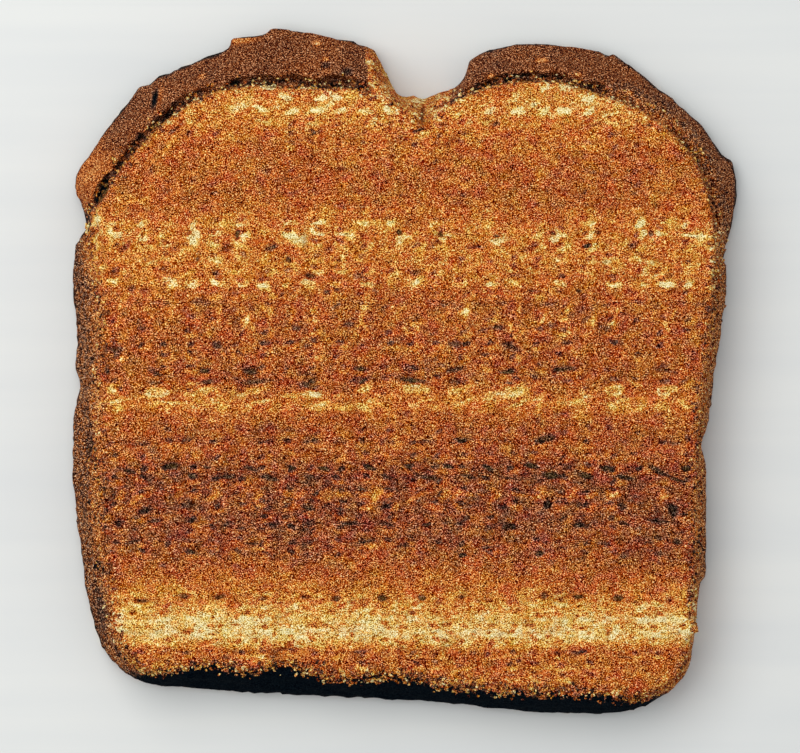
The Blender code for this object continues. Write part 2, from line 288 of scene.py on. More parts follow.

# %% [markdown]
# A few marks stand alone at the edges: a short crack and dark rings in the top crust, pale flecks where a
# blister broke, the torn hollow under the left shoulder's flake, the bare crumb below it, creases beside
# the notch and scorched strips low on the side walls. They are written one by one, where the photo has them.

# %% The marks that stand alone
# place x, y, half length, half width in mm; lean in degrees; depth in mm; tone
# The short crack, the dark rings, the torn hollow under the flake and the creases beside the notch are
# darkened with painted shade.
SINGLE_MARKS = (
    (-42.4, 46.2, 1.7, 0.45, 80, 0.6, -3), (-9.8, 50.7, 0.9, 0.7, 0, 0.3, -1.8),
    (-13.3, 51.9, 0.7, 0.6, 0, 0.3, -1.6), (-14.9, 55.6, 0.6, 0.45, 0, 0, 3),
    (-13.4, 52.9, 0.5, 0.4, 20, 0, 2.6), (23.2, 52.7, 0.9, 0.45, 0, 0, 2.6),
    (14.7, 49.8, 0.5, 0.6, 0, 0, 3), (29.5, 50.2, 0.5, 0.4, 0, 0, 2.2),
    (38.1, 47.2, 0.5, 0.4, 0, 0, 2.2), (-34.4, 50, 0.6, 0.4, 30, 0, 1.8),
    (-27.5, 56.2, 2.2, 0.5, 8, 0, 2.2), (-53, 33.6, 2.6, 0.8, 52, 0, 0.7),
    (-51.9, -33, 1, 0.8, 20, 0.5, -2.6), (-51, -34.2, 0.8, 0.6, 0, 0.5, -2.4),
    (-51.1, 30.3, 2.2, 0.8, 66, 0.8, -3.4), (-50.2, 24.2, 1.6, 1.1, 25, 0.1, 1.2),
    (-51.7, 21, 0.9, 0.5, 10, 0.2, 0.7), (-54.6, 25.6, 0.6, 2, 0, 0, 1.8),
    (-52.6, 2, 1.6, 0.7, 30, 0.4, -1.6), (-53.2, -13, 0.8, 2.6, 0, 0.4, -1.8),
    (-51.9, 12.6, 0.9, 0.6, 20, 0.3, -1.6), (-48.4, -48, 2, 0.4, -58, 0.2, -1.6),
    (-53.7, 26.9, 1.4, 0.4, 88, 0.1, -1.3), (-52.9, 23.4, 1.4, 0.45, 48, 0.3, -2.4),
    (-52.1, 26, 0.9, 0.9, 0, 0, 2), (3.1, 43.6, 2, 0.45, 84, 0.5, -2.2),
    (6.6, 45.2, 1.4, 0.42, 24, 0.4, -2.4), (-7, 47.6, 0.9, 0.6, 60, 0.3, -1.6),
    (-51.4, -40.5, 1.2, 4.5, 8, 0, -1.1), (48.3, -38, 0.6, 2.5, 0, 0.2, -2.2),
)

single_marks = [
    (x * MM, y * MM, half_length * MM, half_width * MM, math.radians(lean), depth * MM, tone)
    for x, y, half_length, half_width, lean, depth, tone in SINGLE_MARKS
]
print(len(single_marks), "marks stand alone")

# %% Press the marks into the bread
LIP_PLACE = (0.25 * MM, -0.75 * MM)
LIP_SHARE = 0.45
# The hidden side, below this height, takes no mark.
LOWEST_MARK = 3 * MM


def press_marks(points, marks, where):
    """The depth and the tone that the marks give each point, where the bread takes them."""
    depth = np.zeros(len(points))
    tone = np.zeros(len(points))
    open_points = np.nonzero(where > 0)[0]
    x = points[open_points, 0]
    y = points[open_points, 1]
    for mark_x, mark_y, half_length, half_width, angle, deep, shade in marks:
        reach = 2.2 * max(half_length, half_width) + 1 * MM
        near = np.nonzero((np.abs(x - mark_x) < reach) & (np.abs(y - mark_y) < reach))[0]
        along = (x[near] - mark_x) * math.cos(angle) + (y[near] - mark_y) * math.sin(angle)
        across = (y[near] - mark_y) * math.cos(angle) - (x[near] - mark_x) * math.sin(angle)
        close = np.exp(-((along / half_length) ** 2 + (across / half_width) ** 2) ** 1.5)
        chosen = open_points[near]
        depth[chosen] = np.maximum(depth[chosen], deep * close)
        # A dark mark's tone is partly scorch and partly painted shade in its pit.
        tone[chosen] += shade * close
        # The lower lip of a dark pit stands up into the light, and is paler.
        past_lip = ((along - LIP_PLACE[0]) / half_length) ** 2 + ((across - LIP_PLACE[1]) / half_width) ** 2
        tone[chosen] -= LIP_SHARE * min(shade, 0) * np.exp(-past_lip) * (1 - close)
    return depth * where, tone * where


on_crumb = facing_up * (1 - smoothstep(-1.2 * MM, -0.2 * MM, beyond))
row_depth, row_tone = press_marks(places, row_marks, on_crumb)
single_depth, single_tone = press_marks(places, single_marks, (places[:, 2] > LOWEST_MARK) * 1.0)
pit_depth = np.maximum(row_depth, single_depth)
places[:, 2] -= pit_depth
move_points(toast, places)
store(toast, "pit", pit_depth / MM)
store(toast, "tone", row_tone + single_tone)


# %% [markdown]
# ## The open grain of the crumb
#
# Between the marks, crumb is a sponge of small torn bubbles. Sculpting them one by one is out of reach, and
# a Displace modifier does the same from a texture: it moves each point along its normal by the texture's
# brightness. Two textures are used on the crumb, one for broad torn clumps and one for single bubbles, and
# a third gives the crust its low blisters. A vertex group keeps each texture to its own part of the bread.

# %% Mark out crumb and crust as vertex groups
def add_group(thing, name, weights):
    """A vertex group from weights of 0 to 1, in steps of a tenth."""
    group = thing.vertex_groups.new(name=name)
    for level in range(1, 11):
        chosen = np.nonzero(np.round(weights * 10) == level)[0]
        group.add(chosen.tolist(), level / 10, "REPLACE")
    print(round(100 * float((weights > 0.05).mean())), "% of the points are in", name)


inside_crumb = 1 - smoothstep(-0.6 * MM, 0.2 * MM, beyond)
underneath = (1 - facing_up) * (places[:, 2] < 1 * MM)
add_group(toast, "crumb", np.clip(inside_crumb + underneath, 0, 1))
add_group(toast, "crust", smoothstep(0.2 * MM, 1.2 * MM, beyond) * (places[:, 2] > 0.6 * MM))
add_group(toast, "underneath", (underneath > 0.5) * 1.0)


# %% Push the points in and out by textures
def push_by_texture(thing, name, kind, size, height, group, middle=0.5):
    """Displaces one group's points by a texture: out where it is brighter than the middle, else in."""
    texture = bpy.data.textures.new(name, kind)
    texture.noise_scale = size
    modifier = thing.modifiers.new(name, "DISPLACE")
    modifier.texture = texture
    modifier.texture_coords = "LOCAL"
    modifier.strength = height
    modifier.mid_level = middle
    modifier.vertex_group = group
    return texture


torn_clumps = push_by_texture(toast, "torn clumps", "CLOUDS", 2.2 * MM, 0.55 * MM, "crumb")
torn_clumps.noise_depth = 3
push_by_texture(toast, "single bubbles", "VORONOI", 1.3 * MM, 0.45 * MM, "crumb", middle=0.35)
blisters = push_by_texture(toast, "crust blisters", "CLOUDS", 1.1 * MM, 0.3 * MM, "crust")
blisters.noise_depth = 4
apply_all_modifiers(toast)

# %% [markdown]
# The side that lies on the table is seen only when the slice is turned over. Its faces are thinned out to
# a tenth, which keeps the piece light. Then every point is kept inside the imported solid's own box, so the
# grain makes the slice no larger and nothing pokes through the table.

# %% Thin out the hidden side and keep to the solid's box
UNDERNEATH_SHARE = 0.1

hidden_share = float((underneath > 0.5).mean())
thinned = toast.modifiers.new("thinned underneath", "DECIMATE")
thinned.vertex_group = "underneath"
thinned.ratio = 1 - hidden_share * (1 - UNDERNEATH_SHARE)
print("share of points underneath", round(hidden_share, 2))
apply_all_modifiers(toast)


def keep_inside(thing, box):
    move_points(thing, np.clip(points_of(thing), np.array(box[0]), np.array(box[1])))


keep_inside(toast, solid_box)

# %% [markdown]
# ## What the materials need to know
#
# A material can read a number that each point of the mesh carries, called an attribute. The tone and depth
# of the marks are such numbers already. The bread gets five more: how far a point is beyond the crumb's
# edge, how deep it lies in the gap under the lifted top crust, which has painted shade, how charred it is,
# with painted shade on the char, how lightly baked the crust is there, and how crumbly a wall is.

# %% Helpers for zones round the slice, as angles from +X
def between_angles(degrees, low, high, fade):
    return smoothstep(low - fade, low, degrees) * (1 - smoothstep(high, high + fade, degrees))


def wander(points, size):
    """Smooth noise of about -1 to 1 at each point, with features of about the size."""
    return np.array([noise.fractal(Vector(point) / size, 0.6, 2.0, 2) for point in points])


places = points_of(toast)
beyond = beyond_crumb(places)
degrees = np.degrees(angle_of(places))
height = places[:, 2]

# %% The gap with its painted shade, the char with painted shade and a glint, the lighter flake and the crumbly walls
GAP_ANGLES = (12, 154)
NOTCH_ANGLES = (80.5, 97.2)
GAP_WIDTH = 1.2 * MM
CHAR_AND_SHADE_ANGLES = (-128, -56)
PAINTED_GLINT_ANGLES = (-66, -58)
FLAKE_ANGLES = (145.5, 152.5)
LEFT_WALL_ANGLES = (159, 228)
RIGHT_WALL_ANGLES = (-50, 19)
RIGHT_SHOULDER_ANGLES = (12, 50)

torn = wander(places, 2.4 * MM)
in_notch = between_angles(degrees, *NOTCH_ANGLES, 1)
under_crust = between_angles(degrees, *GAP_ANGLES, 8) * (1 - in_notch)
right_shoulder = between_angles(degrees, *RIGHT_SHOULDER_ANGLES, 8)
# The gap under the top crust gets painted shade.
gap_shade = under_crust * smoothstep(-0.2 * MM, 0.3 * MM, beyond) * (1 - 0.55 * right_shoulder)
gap_shade *= 1 - smoothstep(0, 0.5 * MM, beyond - GAP_WIDTH * (1 + 0.5 * torn))
# A painted glint: the char and its painted shade are a little lighter where the bottom wall turns up to its
# right end.
painted_glint = between_angles(degrees, *PAINTED_GLINT_ANGLES, 6) * (1 - smoothstep(2.5 * MM, 5 * MM, height))
# The bottom wall is charred, and its char is darkened further with painted shade.
char_and_shade = between_angles(degrees, *CHAR_AND_SHADE_ANGLES, 6) * smoothstep(-0.1 * MM, 0.5 * MM, beyond)
char_and_shade *= 1 - 0.3 * painted_glint
light_crust = between_angles(degrees, *FLAKE_ANGLES, 4) * smoothstep(0.8 * MM, 1.6 * MM, beyond)
on_wall = between_angles(degrees % 360, *LEFT_WALL_ANGLES, 4)
on_wall += between_angles(degrees, *RIGHT_WALL_ANGLES, 3)
on_wall += 0.8 * right_shoulder * (1 - smoothstep(2.5 * MM, 4.5 * MM, beyond))
crumbly = np.clip(on_wall, 0, 1) * smoothstep(-1 * MM, 1 * MM, beyond)

store(toast, "beyond", beyond / MM * (1 - 0.8 * in_notch))
for name, values in zip(("gap_shade", "char_and_shade", "light_crust", "crumbly"), (gap_shade, char_and_shade, light_crust, crumbly)):
    store(toast, name, values)

# %% [markdown]
# ## Colours
#
# The colours are picked as on a screen, as sRGB hex values, but shaders count in linear light. One function
# turns the first into the second, and another adds a node with all its settings and links in one line.

# %% From a hex colour to linear light
def linear(hex_colour):
    def channel(pair):
        value = int(pair, 16) / 255
        return value / 12.92 if value <= 0.04045 else ((value + 0.055) / 1.055) ** 2.4

    return tuple(channel(hex_colour[i:i + 2]) for i in (1, 3, 5)) + (1.0,)


print("toast brown in linear light", [round(v, 3) for v in linear("#A25F39")])


# %% Add a node and start a material
def add_node(tree, kind, inputs=None, stops=None, **settings):
    """Adds a node. Each input is given a value, an output to link, or a node whose first output is linked."""
    node = tree.nodes.new(kind)
    for name, value in settings.items():
        setattr(node, name, value)
    for name, value in (inputs or {}).items():
        if isinstance(value, bpy.types.Node):
            value = value.outputs[0]
        if isinstance(value, bpy.types.NodeSocket):
            tree.links.new(value, node.inputs[name])
        else:
            node.inputs[name].default_value = value
    for place, (position, colour) in enumerate(sorted(stops or ())):
        if place >= len(node.color_ramp.elements):
            node.color_ramp.elements.new(1.0)
        node.color_ramp.elements[place].position = position
        node.color_ramp.elements[place].color = colour
    return node


def start_material(name):
    """A new material, its node tree, its shader and the place on the object in metres."""
    material = bpy.data.materials.new(name)
    material.use_nodes = True
    tree = material.node_tree
    place = add_node(tree, "ShaderNodeTexCoord").outputs["Object"]
    return material, tree, tree.nodes["Principled BSDF"], place


# %% [markdown]
# ## Speckle
#
# Both crumb and crust are speckled down to the size of single dry flakes: the tips catch the light and the
# cracks between them are dark. To the eye a speckle is as strong on dark bread as on pale bread, so it is
# added to the colour as a screen counts it, between a step out of linear light and a step back into it.

# %% Layers of noise and speckle
SCREEN_GAMMA = 2.2
# how much red, green and blue swing: the least in blue, because dry bread gives little of it back
SPECKLE_SWING = (1.0, 0.95, 0.84)
DARKEST = (0.012, 0.006, 0.004)
PALEST = (0.98, 0.93, 0.76)


def add_layers(tree, start, layers):
    """Adds noises to a start value. Each lightens as much as it darkens, so its middle is taken off first."""
    total = add_node(tree, "ShaderNodeMath", {0: start, 1: sum(layers.values()) / 2}, operation="SUBTRACT")
    for layer, strength in layers.items():
        total = add_node(tree, "ShaderNodeMath", {0: layer, 1: strength, 2: total}, operation="MULTIPLY_ADD")
    return total


def add_speckle(tree, colour, speckle):
    """Lightens or darkens a colour by the speckle, in even steps for the eye."""
    on_screen = add_node(tree, "ShaderNodeGamma", {"Color": colour, "Gamma": 1 / SCREEN_GAMMA})
    swing = add_node(tree, "ShaderNodeVectorMath", {0: speckle, 1: SPECKLE_SWING}, operation="MULTIPLY")
    speckled = add_node(tree, "ShaderNodeVectorMath", {0: on_screen, 1: swing}, operation="ADD")
    not_black = add_node(tree, "ShaderNodeVectorMath", {0: speckled, 1: DARKEST}, operation="MAXIMUM")
    not_white = add_node(tree, "ShaderNodeVectorMath", {0: not_black, 1: PALEST}, operation="MINIMUM")
    return add_node(tree, "ShaderNodeGamma", {"Color": not_white, "Gamma": SCREEN_GAMMA})


def grey(level):
    return (level, level, level, 1)


# %% [markdown]
# ## Torn bubbles
#
# The knife tore the crumb's bubbles open. Each is a hollow with painted shade in it and a pale rim below it,
# a painted highlight where it catches the light. The rows on the mesh are the largest of them, and the rest
# are too small for its faces, so the material draws them. A Voronoi texture splits the face into cells and
# tells where the middle of each cell is. Measured from there, a hollow is a small oval, and its rim is a
# larger one pushed a little to the side.

# %% Hollows and rims, one of each in a cell
BUBBLE_PITCH = (4.2 * MM, 2.1 * MM, 1.0)
HOLLOW_SIZE = (0.70 * MM, 0.45 * MM, 1.0)
RIM_SIZE = (1.35 * MM, 0.72 * MM, 1.0)
RIM_PLACE = (0.40 * MM, -0.65 * MM, 0.0)


def add_oval(tree, place, middle, size, grain):
    """How far a place is inside an oval whose edge is torn by the grain: 1 inside and 0 outside."""
    from_middle = add_node(tree, "ShaderNodeVectorMath", {0: place, 1: middle}, operation="SUBTRACT")
    measured = add_node(tree, "ShaderNodeVectorMath", {0: from_middle, 1: size}, operation="DIVIDE")
    distance = add_node(tree, "ShaderNodeVectorMath", {0: measured}, operation="LENGTH").outputs["Value"]
    torn = add_layers(tree, distance, {grain: 1.6})
    return add_node(tree, "ShaderNodeMapRange", {
        "Value": torn, "From Min": 0.75, "From Max": 1.15, "To Min": 1.0, "To Max": 0.0,
    })


def add_bubbles(tree, place, grain):
    """The hollows and the pale rims of the torn bubbles, each as a share from 0 to 1."""
    grid = add_node(tree, "ShaderNodeVectorMath", {0: place, 1: BUBBLE_PITCH}, operation="DIVIDE")
    cell = add_node(tree, "ShaderNodeTexVoronoi", {
        "Vector": grid, "Scale": 1.0, "Randomness": 0.5,
    }, voronoi_dimensions="2D")
    from_middle = add_node(tree, "ShaderNodeVectorMath", {
        0: grid, 1: cell.outputs["Position"],
    }, operation="SUBTRACT")
    flat_pitch = (BUBBLE_PITCH[0], BUBBLE_PITCH[1], 0.0)
    local = add_node(tree, "ShaderNodeVectorMath", {0: from_middle, 1: flat_pitch}, operation="MULTIPLY")
    # The cell's own random colour leans its bubble and leaves some cells without one.
    chance = add_node(tree, "ShaderNodeSeparateColor", {0: cell.outputs["Color"]})
    lean = add_node(tree, "ShaderNodeMapRange", {
        "Value": chance.outputs["Green"], "To Min": math.radians(-50), "To Max": math.radians(40),
    })
    leaning = add_node(tree, "ShaderNodeVectorRotate", {
        "Vector": local, "Angle": lean,
    }, rotation_type="Z_AXIS")
    present = add_node(tree, "ShaderNodeMapRange", {
        "Value": chance.outputs["Red"], "From Min": 0.25, "From Max": 0.5,
    })
    shares = []
    for middle, size in (((0, 0, 0), HOLLOW_SIZE), (RIM_PLACE, RIM_SIZE)):
        oval = add_oval(tree, leaning, middle, size, grain)
        shares.append(add_node(tree, "ShaderNodeMath", {0: oval, 1: present}, operation="MULTIPLY"))
    return shares


# %% [markdown]
# ## Toasted crumb
#
# Crumb browns as its sugars and proteins react in the heat, so one scale runs from dry pale bread through
# gold and orange brown to char. The material works out one number, how far a spot has browned, and one
# colour ramp turns it into a colour. This slice browned in bands from side to side, as under a grill with
# bars. Its height on the slice gives the band, and noise of several sizes makes the clumps and bubbles.

# %% The browning scale and the bands
BROWNING_SCALE = (
    (0.00, "#FBDD94"), (0.17, "#E1A044"), (0.27, "#CA7620"), (0.36, "#C05F10"), (0.45, "#A84906"),
    (0.56, "#963D05"), (0.68, "#782A07"), (0.82, "#4B1A0A"), (1.00, "#1E0B06"),
)
# height on the slice in mm, and how strong the hollows and the pale rims are there
BUBBLE_BANDS = (
    (-53, 0.8, 0.8), (-48.6, 0.9, 0.7), (-47.4, 0.8, 0.2), (-45.6, 0.9, 0.5), (-42, 0.7, 0.4),
    (-38.4, 0.5, 0.5), (-36.6, 0.2, 0.1), (-33, 0.2, 0.2), (-30.4, 0.9, 0.4), (-27.6, 0.4, 0.3),
    (-25.8, 0.8, 0.4), (-22, 0.7, 0.9), (-19.6, 0.7, 0.7), (-17, 1, 0.4), (-13.6, 0.6, 0.5),
    (-11.7, 0.8, 0.2), (-9, 0.4, 0.1), (-6.4, 0.2, 0.6), (-4.2, 0.6, 0.7), (-2.2, 0.8, 0.6),
    (1, 0.6, 0.5), (4.4, 1, 0.6), (9, 0.6, 0.5), (12, 0.5, 0.5), (14.6, 0.8, 0.8),
    (17.6, 0.8, 0.6), (21, 0.9, 0.4), (23.2, 1, 1), (26.5, 0.4, 0.3), (36, 0.4, 0.2),
    (40.6, 0.9, 0.4), (44.5, 0.4, 1),
)
# height on the slice in mm, and how far the crumb has browned there
BROWNING_BANDS = (
    (-58, 0.62), (-51.5, 0.46), (-49, 0.50), (-47.2, 0.40), (-45, 0.13), (-42, 0.18),
    (-39.5, 0.31), (-36.5, 0.45), (-33.5, 0.54), (-29, 0.66), (-23, 0.68), (-18, 0.69),
    (-15.5, 0.63), (-13, 0.56), (-9, 0.56), (-7.5, 0.48), (-5.6, 0.37), (-3.4, 0.49),
    (-0.5, 0.56), (6, 0.54), (11, 0.55), (14, 0.44), (20, 0.36), (24.5, 0.38),
    (29, 0.50), (33, 0.51), (38, 0.47), (41.5, 0.38), (45.5, 0.30), (49, 0.36),
    (58, 0.55),
)
print(len(BROWNING_BANDS), "heights with a browning,", len(BUBBLE_BANDS), "with bubbles")

# %% The band that a spot lies in
SLICE_REACH = 60 * MM
BAND_WAVE = 2.4 * MM


def share_of_reach(height):
    """How far a height in mm is on the way from 60 mm below the middle to 60 mm above it."""
    return 0.5 + 0.5 * height * MM / SLICE_REACH


def add_bands(tree, place, wave):
    """How far a spot's band has browned, and how strong the hollows and the rims of its bubbles are."""
    height = add_node(tree, "ShaderNodeSeparateXYZ", {0: place}).outputs["Y"]
    # A noise pushes the height up and down, so the bands' edges are a little wavy.
    wavy = add_node(tree, "ShaderNodeMath", {0: wave, 1: BAND_WAVE, 2: height}, operation="MULTIPLY_ADD")
    share = add_node(tree, "ShaderNodeMapRange", {
        "Value": wavy, "From Min": BAND_WAVE / 2 - SLICE_REACH, "From Max": BAND_WAVE / 2 + SLICE_REACH,
    })
    band = add_node(tree, "ShaderNodeValToRGB", {"Fac": share}, stops=[
        (share_of_reach(at), grey(level)) for at, level in BROWNING_BANDS
    ])
    strengths = add_node(tree, "ShaderNodeValToRGB", {"Fac": share}, stops=[
        (share_of_reach(at), (dark, pale, 0, 1)) for at, dark, pale in BUBBLE_BANDS
    ])
    strengths = add_node(tree, "ShaderNodeSeparateColor", {0: strengths})
    return band, strengths.outputs["Red"], strengths.outputs["Green"]


# %% [markdown]
# The marks and the torn edge only change how far a spot has browned, so they keep the bread's own colours.
# The mesh carries the marks no finer than its faces. So grain is added to their tone before it is cut off
# at a level, which gives each mark a torn edge much finer than a face.

# %% The marks and the torn edge of the crumb
def add_marks(tree, browning, cells, bubbles):
    """The browning with the marks in it: a dark one is darker, partly scorch and partly painted shade, and a
    pale one lighter.
    """
    tone = add_node(tree, "ShaderNodeAttribute", attribute_name="tone").outputs["Fac"]
    torn_tone = add_layers(tree, tone, {cells: 2.2, bubbles: 0.8})
    for edge, middle, change in ((-0.6, -2.6, 0.40), (0.5, 2.0, -0.30)):
        marked = add_node(tree, "ShaderNodeMapRange", {
            "Value": torn_tone, "From Min": edge, "From Max": middle, "To Max": change,
        })
        browning = add_node(tree, "ShaderNodeMath", {0: browning, 1: marked}, operation="ADD")
    return browning


def add_torn_edge(tree, browning, bubbles, cells, shreds):
    """The browning, crumbly towards the crumb's edge: scorched in its cracks and bare on its tips."""
    beyond_edge = add_node(tree, "ShaderNodeAttribute", attribute_name="beyond").outputs["Fac"]
    torn = add_node(tree, "ShaderNodeMath", {0: bubbles, 1: 3.2, 2: beyond_edge}, operation="MULTIPLY_ADD")
    at_edge = add_node(tree, "ShaderNodeMapRange", {"Value": torn, "From Max": 2.0})
    crumbled = add_layers(tree, 0.06, {cells: 1.1, shreds: 0.8})
    return add_node(tree, "ShaderNodeMath", {0: at_edge, 1: crumbled, 2: browning}, operation="MULTIPLY_ADD")


# %% [markdown]
# Now the parts come together. The grain, bands, bubbles, marks and edge add up to the browning, the scale
# turns it into a colour, and the speckle goes on last. A bump catches the light where faces are too large.

# %% The crumb's material
def make_crumb():
    """Toasted white crumb: dry, matt and open, so it scatters light evenly and hardly shines."""
    material, tree, shader, place = start_material("toasted white crumb")

    # Grain as noise from 0 to 1, each with its size in mm and its detail. Real crumb has finer flakes than
    # the third, but they would fall between the photo's pixels, so it is drawn no finer.
    bubbles, cells, flakes, clumps, tints = (
        add_node(tree, "ShaderNodeTexNoise", {"Vector": place, "Scale": 1 / (size * MM), "Detail": detail})
        for size, detail in ((1.5, 3), (0.62, 1), (0.18, 0), (5.5, 3), (2.4, 4))
    )
    # The dough was rolled, so some of its bubbles are drawn out into slanting streaks and shreds.
    drawn_out = []
    for lean, squeeze, size, detail in ((-18, 0.35, 0.8, 2), (32, 0.45, 0.4, 1)):
        pulled = add_node(tree, "ShaderNodeMapping", {
            "Vector": place, "Rotation": (0, 0, math.radians(lean)), "Scale": (squeeze, 1, 1),
        })
        drawn_out.append(add_node(tree, "ShaderNodeTexNoise", {
            "Vector": pulled, "Scale": 1 / (size * MM), "Detail": detail,
        }))
    streaks, shreds = drawn_out

    band, hollow_strength, rim_strength = add_bands(tree, place, clumps)
    browning = add_layers(tree, band, {clumps: 0.30, bubbles: 0.36, streaks: 0.34, shreds: 0.26})
    # The small torn bubbles are strong in some bands and faint in others.
    hollow, rim = add_bubbles(tree, place, cells)
    # Painted shade darkens each hollow, and a painted highlight lightens each rim.
    for share, strength, change in ((rim, rim_strength, -0.28), (hollow, hollow_strength, 0.32)):
        seen = add_node(tree, "ShaderNodeMath", {0: share, 1: strength}, operation="MULTIPLY")
        browning = add_node(tree, "ShaderNodeMath", {
            0: seen, 1: change, 2: browning,
        }, operation="MULTIPLY_ADD")
    browning = add_marks(tree, browning, cells, bubbles)
    browning = add_torn_edge(tree, browning, bubbles, cells, shreds)
    colour = add_node(tree, "ShaderNodeValToRGB", {"Fac": browning}, stops=[
        (at, linear(shade)) for at, shade in BROWNING_SCALE
    ])

    # Some clumps are redder and some more olive, and pits get painted shade: a dark olive brown, the bread's
    # yellow in shadow.
    tinted = add_node(tree, "ShaderNodeMapRange", {
        "Value": tints, "From Min": 0.3, "From Max": 0.7, "To Min": 0.488, "To Max": 0.514,
    })
    colour = add_node(tree, "ShaderNodeHueSaturation", {"Color": colour, "Hue": tinted})
    pit = add_node(tree, "ShaderNodeAttribute", attribute_name="pit").outputs["Fac"]
    torn_pit = add_layers(tree, pit, {cells: 0.5})
    shaded = add_node(tree, "ShaderNodeMapRange", {
        "Value": torn_pit, "From Min": 0.25, "From Max": 0.6, "To Max": 0.85,
    })
    colour = add_node(tree, "ShaderNodeMix", {0: shaded, 6: colour, 7: linear("#543A12")}, data_type="RGBA")
    speckle = add_layers(tree, 0.0, {flakes: 2.1, shreds: 0.16})
    # What is scorched or lies in a pit's painted shade has little more than half the speckle.
    dullness = add_node(tree, "ShaderNodeMapRange", {"Value": browning, "From Min": 0.70, "To Max": 0.7})
    dullness = add_node(tree, "ShaderNodeMath", {0: dullness, 1: shaded}, operation="MAXIMUM")
    in_light = add_node(tree, "ShaderNodeMath", {0: dullness, 1: -0.6, 2: 1.0}, operation="MULTIPLY_ADD")
    speckle = add_node(tree, "ShaderNodeMath", {0: speckle, 1: in_light}, operation="MULTIPLY")
    base = add_speckle(tree, colour.outputs[2], speckle)
    tree.links.new(base.outputs[0], shader.inputs["Base Color"])

    # Relief finer than the mesh: bubbles, then the rough skin of each.
    relief = add_node(tree, "ShaderNodeMath", {0: cells, 1: 1.0, 2: bubbles}, operation="MULTIPLY_ADD")
    bump = add_node(tree, "ShaderNodeBump", {"Distance": 0.4 * MM, "Height": relief})
    tree.links.new(bump.outputs["Normal"], shader.inputs["Normal"])
    roughness = add_node(tree, "ShaderNodeMapRange", {
        "Value": browning, "From Min": 0.5, "To Min": 0.95, "To Max": 0.75,
    })
    tree.links.new(roughness.outputs["Result"], shader.inputs["Roughness"])
    shader.inputs["Specular IOR Level"].default_value = 0.01
    return material


crumb_material = make_crumb()
print("crumb material has", len(crumb_material.node_tree.nodes), "nodes")

# %% [markdown]
# ## Baked crust
#
# Crust is the loaf's dried skin. It is browner and smoother than the crumb, with fine pores, small pale
# blisters where it bubbled, and char where it faced the heat, which on the bottom wall is darkened further
# with painted shade. It gets a scale of its own, from the blue black of char with painted shade to the
# pale gold of a broken blister.

# %% The crust's scale
# The blue black at 0 is char with painted shade on it.
CRUST_SCALE = (
    (0.00, "#040B12"), (0.14, "#120804"), (0.34, "#441605"), (0.50, "#732F04"), (0.64, "#954206"),
    (0.80, "#BC6A22"), (1.00, "#EAC28A"),
)

# %% [markdown]
# The walls at the sides rubbed along the tin. They are crumbly, blotched with scorched dots, and paler
# towards the crumb, which they run into without an edge. The foot of the crust has painted shade, less so
# on these walls, and the charred black wall at the bottom has painted shade too. All of this only changes
# how far the crust has baked, as a number from char and painted shade at 0 to a broken blister at 1.

# %% The blotches on a wall and the painted shade at the foot
def add_blotches(tree, beyond_edge, cells):
    """How much a wall's scorched dots darken it, and how much paler it is towards the crumb."""
    dots = add_node(tree, "ShaderNodeMapRange", {
        "Value": cells, "From Min": 0.34, "From Max": 0.62, "To Min": -0.18, "To Max": 0.09,
    })
    near_crumb = add_node(tree, "ShaderNodeMapRange", {
        "Value": beyond_edge, "From Max": 2.6, "To Min": 0.33, "To Max": 0.0,
    })
    return add_node(tree, "ShaderNodeMath", {0: dots, 1: near_crumb}, operation="ADD")


def add_shaded_foot(tree, place, pores):
    """How far a spot lies in the foot's painted shade, whose upper edge the pores tear."""
    height = add_node(tree, "ShaderNodeSeparateXYZ", {0: place}).outputs["Z"]
    torn_height = add_node(tree, "ShaderNodeMath", {
        0: pores, 1: 1.2 * MM, 2: height,
    }, operation="MULTIPLY_ADD")
    return add_node(tree, "ShaderNodeMapRange", {
        "Value": torn_height, "From Min": 2.8 * MM, "From Max": 4.2 * MM, "To Min": 0.36, "To Max": 0.0,
    })


